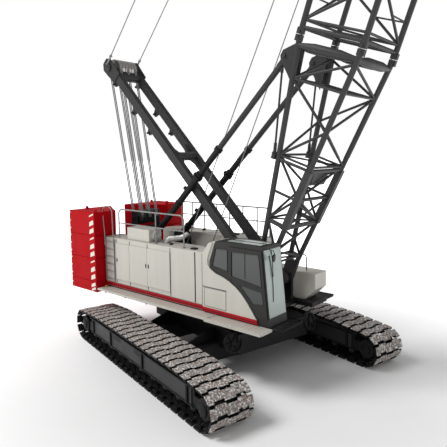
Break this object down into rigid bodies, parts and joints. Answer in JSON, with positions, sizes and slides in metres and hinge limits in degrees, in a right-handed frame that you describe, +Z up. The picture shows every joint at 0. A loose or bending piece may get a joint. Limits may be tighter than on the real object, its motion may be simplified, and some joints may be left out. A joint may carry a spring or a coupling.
{
  "type": "crawler crane",
  "caption": "Lattice boom crawler crane with a live mast, pendants, backstops, winches, side cabinets, a cab and stacked counterweights; it slews, and its boom raises and lowers.",
  "frame": {"origin": "centre of the bounding box of the crane at rest, on the ground", "axes": "+Z up, +X along the crawlers towards their idlers, +Y to the left of the crawlers"},
  "size_m": [15.7786, 6.557, 25.2124],
  "materials": {
    "air_cleaner": "semi-gloss",
    "boom_butt": "semi-gloss",
    "boom_hoist_winch": "semi-gloss",
    "boom_insert": "semi-gloss",
    "boom_tip_sheaves": "machined",
    "boom_top": "semi-gloss",
    "cab_door": "semi-gloss",
    "cab_shell": "semi-gloss",
    "carbody": "semi-gloss",
    "door_low_window": "gloss",
    "door_window": "gloss",
    "engine_block": "semi-gloss",
    "front_carbody_weight": "semi-gloss",
    "front_left_box": "semi-gloss",
    "hoist_falls": "wire rope",
    "hook": "semi-gloss",
    "hook_block": "semi-gloss",
    "left_backstop_barrel": "semi-gloss",
    "left_backstop_rod": "semi-gloss",
    "left_cabinet": "semi-gloss",
    "left_counterweight_1": "semi-gloss",
    "left_counterweight_2": "semi-gloss",
    "left_counterweight_3": "semi-gloss",
    "left_counterweight_tray": "semi-gloss",
    "left_door": "semi-gloss",
    "left_handrail": "semi-gloss",
    "left_idler": "semi-gloss",
    "left_pendant": "wire rope",
    "left_rollers": "semi-gloss",
    "left_sprocket": "semi-gloss",
    "left_track": "worn",
    "left_track_frame": "semi-gloss",
    "left_walkway": "semi-gloss",
    "main_winch": "semi-gloss",
    "mast_frame": "semi-gloss",
    "mast_head_sheaves": "machined",
    "operator_seat": "woven cover",
    "rear_carbody_weight": "semi-gloss",
    "right_backstop_barrel": "semi-gloss",
    "right_backstop_rod": "semi-gloss",
    "right_cabinet": "semi-gloss",
    "right_counterweight_1": "semi-gloss",
    "right_counterweight_2": "semi-gloss",
    "right_counterweight_3": "semi-gloss",
    "right_counterweight_tray": "semi-gloss",
    "right_front_door": "semi-gloss",
    "right_handrail": "semi-gloss",
    "right_idler": "semi-gloss",
    "right_middle_door": "semi-gloss",
    "right_pendant": "wire rope",
    "right_rear_door": "semi-gloss",
    "right_rollers": "semi-gloss",
    "right_sprocket": "semi-gloss",
    "right_track": "worn",
    "right_track_frame": "semi-gloss",
    "right_walkway": "semi-gloss",
    "slewing_ring": "machined",
    "upper_frame": "semi-gloss",
    "windshield": "gloss"
  },
  "bodies": {
    "boom": {"boom_butt": "boom_butt", "boom_insert": "boom_insert", "boom_top": "boom_top", "boom_tip_sheaves": "boom_tip_sheaves", "right_pendant": "right_pendant", "left_pendant": "left_pendant"},
    "mast": {"mast_frame": "mast_frame", "mast_head_sheaves": "mast_head_sheaves"},
    "backstop_barrels": {"right_backstop_barrel": "right_backstop_barrel", "left_backstop_barrel": "left_backstop_barrel"},
    "backstop_rods": {"right_backstop_rod": "right_backstop_rod", "left_backstop_rod": "left_backstop_rod"},
    "hook": {"hoist_falls": "hoist_falls", "hook_block": "hook_block", "hook": "hook"},
    "cab_door": {"cab_door": "cab_door", "door_window": "door_window", "door_low_window": "door_low_window"},
    "right_rear_door": {"right_rear_door": "right_rear_door"},
    "right_middle_door": {"right_middle_door": "right_middle_door"},
    "right_front_door": {"right_front_door": "right_front_door"},
    "left_door": {"left_door": "left_door"},
    "undercarriage": {"carbody": "carbody", "slewing_ring": "slewing_ring", "front_carbody_weight": "front_carbody_weight", "rear_carbody_weight": "rear_carbody_weight", "right_track": "right_track", "right_track_frame": "right_track_frame", "right_sprocket": "right_sprocket", "right_idler": "right_idler", "right_rollers": "right_rollers", "left_track": "left_track", "left_track_frame": "left_track_frame", "left_sprocket": "left_sprocket", "left_idler": "left_idler", "left_rollers": "left_rollers"},
    "upperworks": {"air_cleaner": "air_cleaner", "boom_hoist_winch": "boom_hoist_winch", "cab_shell": "cab_shell", "engine_block": "engine_block", "front_left_box": "front_left_box", "left_cabinet": "left_cabinet", "left_counterweight_1": "left_counterweight_1", "left_counterweight_2": "left_counterweight_2", "left_counterweight_3": "left_counterweight_3", "left_counterweight_tray": "left_counterweight_tray", "left_handrail": "left_handrail", "left_walkway": "left_walkway", "main_winch": "main_winch", "operator_seat": "operator_seat", "right_cabinet": "right_cabinet", "right_counterweight_1": "right_counterweight_1", "right_counterweight_2": "right_counterweight_2", "right_counterweight_3": "right_counterweight_3", "right_counterweight_tray": "right_counterweight_tray", "right_handrail": "right_handrail", "right_walkway": "right_walkway", "upper_frame": "upper_frame", "windshield": "windshield"}
  },
  "joints": [
    {"name": "slew", "type": "hinge", "parent": "undercarriage", "child": "upperworks", "pos_m": [-2.39567, 0, 1.5], "axis": [0, 0, 1], "continuous": true},
    {"name": "boom_hoist", "type": "hinge", "parent": "upperworks", "child": "boom", "pos_m": [-0.87858, 0.36338, 1.9], "axis": [0.2329, -0.9725, 0], "range_deg": [-55.8, 11.2]},
    {"name": "mast_pivot", "type": "hinge", "parent": "upperworks", "child": "mast", "pos_m": [-0.6938, 0.40764, 2.35], "axis": [0.2329, -0.9725, 0], "range_deg": [-57.6, 11.6]},
    {"name": "backstop_pivot", "type": "hinge", "parent": "upperworks", "child": "backstop_barrels", "pos_m": [-4.87552, -0.59399, 3.2], "axis": [0.2329, -0.9725, 0], "range_deg": [-36.9, 7.5]},
    {"name": "backstop_slide", "type": "slide", "parent": "backstop_barrels", "child": "backstop_rods", "axis": [0.6919, 0.1657, 0.7027], "range_m": [-0.6, 2.975]},
    {"name": "hook_swing", "type": "hinge", "parent": "boom", "child": "hook", "pos_m": [7.32695, 2.32881, 24.85244], "axis": [0.2329, -0.9725, 0], "range_deg": [-11.3, 55.9]},
    {"name": "cab_door_hinge", "type": "hinge", "parent": "upperworks", "child": "cab_door", "pos_m": [-0.58792, -1.2794, 2.76], "axis": [0, 0, -1], "range_deg": [0, 90]},
    {"name": "right_rear_door_hinge", "type": "hinge", "parent": "upperworks", "child": "right_rear_door", "pos_m": [-4.49826, -2.18621, 1.98], "axis": [0, 0, 1], "range_deg": [0, 90]},
    {"name": "right_middle_door_hinge", "type": "hinge", "parent": "upperworks", "child": "right_middle_door", "pos_m": [-4.49048, -2.18434, 1.98], "axis": [0, 0, -1], "range_deg": [0, 90]},
    {"name": "right_front_door_hinge", "type": "hinge", "parent": "upperworks", "child": "right_front_door", "pos_m": [-2.73805, -1.76459, 1.98], "axis": [0, 0, 1], "range_deg": [0, 90]},
    {"name": "left_door_hinge", "type": "hinge", "parent": "upperworks", "child": "left_door", "pos_m": [-3.50035, 1.41798, 1.98], "axis": [0, 0, -1], "range_deg": [0, 90]}
  ],
  "couplings": [
    {"joint": "mast_pivot", "follows": "boom_hoist", "ratio": 1.03},
    {"joint": "backstop_pivot", "follows": "boom_hoist", "ratio": 0.66},
    {"joint": "backstop_slide", "follows": "boom_hoist", "m_per_rad": -3.05},
    {"joint": "hook_swing", "follows": "boom_hoist", "ratio": -1}
  ]
}
